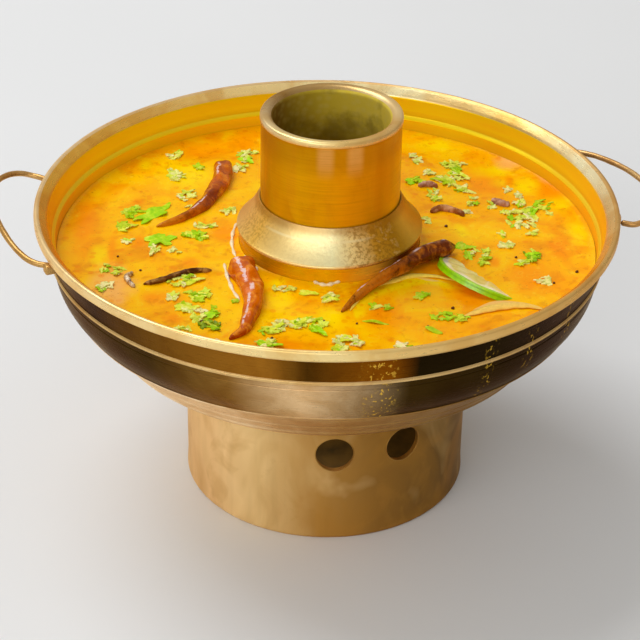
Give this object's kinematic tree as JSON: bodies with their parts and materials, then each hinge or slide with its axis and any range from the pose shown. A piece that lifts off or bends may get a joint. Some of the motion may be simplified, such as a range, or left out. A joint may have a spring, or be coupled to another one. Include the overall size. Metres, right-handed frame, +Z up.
{
  "type": "tom yum goong in a brass hot pot",
  "caption": "Round brass chimney hot pot on a drum base with wire side handles, filled with orange tom yum soup, dried chillies, a lime slice and chopped herbs.",
  "frame": {"origin": "on the table at the middle of the pot, at its lowest level", "axes": "+Z up; the wire handles lie roughly along +X and -X; the front air vent faces -Y, the side of the picture"},
  "size_m": [0.3257, 0.2816, 0.197],
  "materials": {
    "bowl_brass": "hammered and polished, worn, with fine pits",
    "base_brass": "satin with cloudy polishing marks",
    "chimney_brass": "brushed round, polished, heat stained",
    "collar_brass": "cast, fine pitted grain, polished",
    "handle_brass": "polished rod",
    "soup": "glossy liquid, cloudy orange with yellow oil",
    "chilli_skin": "wet dried skin, wrinkled",
    "chilli_stalk": "dry fibrous",
    "lime_flesh": "wet, green rind and pale translucent flesh",
    "round_slice": "wet, pale cream",
    "herb_leaf": "wet leaf, satin"
  },
  "bodies": {
    "root": {"bowl": "bowl_brass", "fire_tube": "chimney_brass", "base": "base_brass", "ash_floor": "base_brass", "chimney": "chimney_brass", "collar": "collar_brass", "handle_right": "handle_brass", "handle_left": "handle_brass", "chilli_back": "chilli_skin", "chilli_front": "chilli_skin", "chilli_leaning": "chilli_skin", "chilli_left": "chilli_skin", "chilli_curl": "chilli_skin", "chilli_scrap_back": "chilli_skin", "chilli_scrap_right": "chilli_skin", "chilli_stalk": "chilli_stalk", "lime_slice": "lime_flesh", "round_slice_front": "round_slice", "round_slice_right": "round_slice", "leaf_01": "herb_leaf", "leaf_02": "herb_leaf", "leaf_03": "herb_leaf", "leaf_04": "herb_leaf", "leaf_05": "herb_leaf", "leaf_06": "herb_leaf", "leaf_07": "herb_leaf", "leaf_08": "herb_leaf", "leaf_09": "herb_leaf", "leaf_10": "herb_leaf", "leaf_11": "herb_leaf", "leaf_12": "herb_leaf", "leaf_13": "herb_leaf", "leaf_14": "herb_leaf", "leaf_15": "herb_leaf", "leaf_16": "herb_leaf", "leaf_17": "herb_leaf", "leaf_18": "herb_leaf", "leaf_19": "herb_leaf", "leaf_20": "herb_leaf", "leaf_21": "herb_leaf", "leaf_22": "herb_leaf", "leaf_23": "herb_leaf", "leaf_24": "herb_leaf", "leaf_25": "herb_leaf", "soup": "soup"}
  },
  "joints": []
}
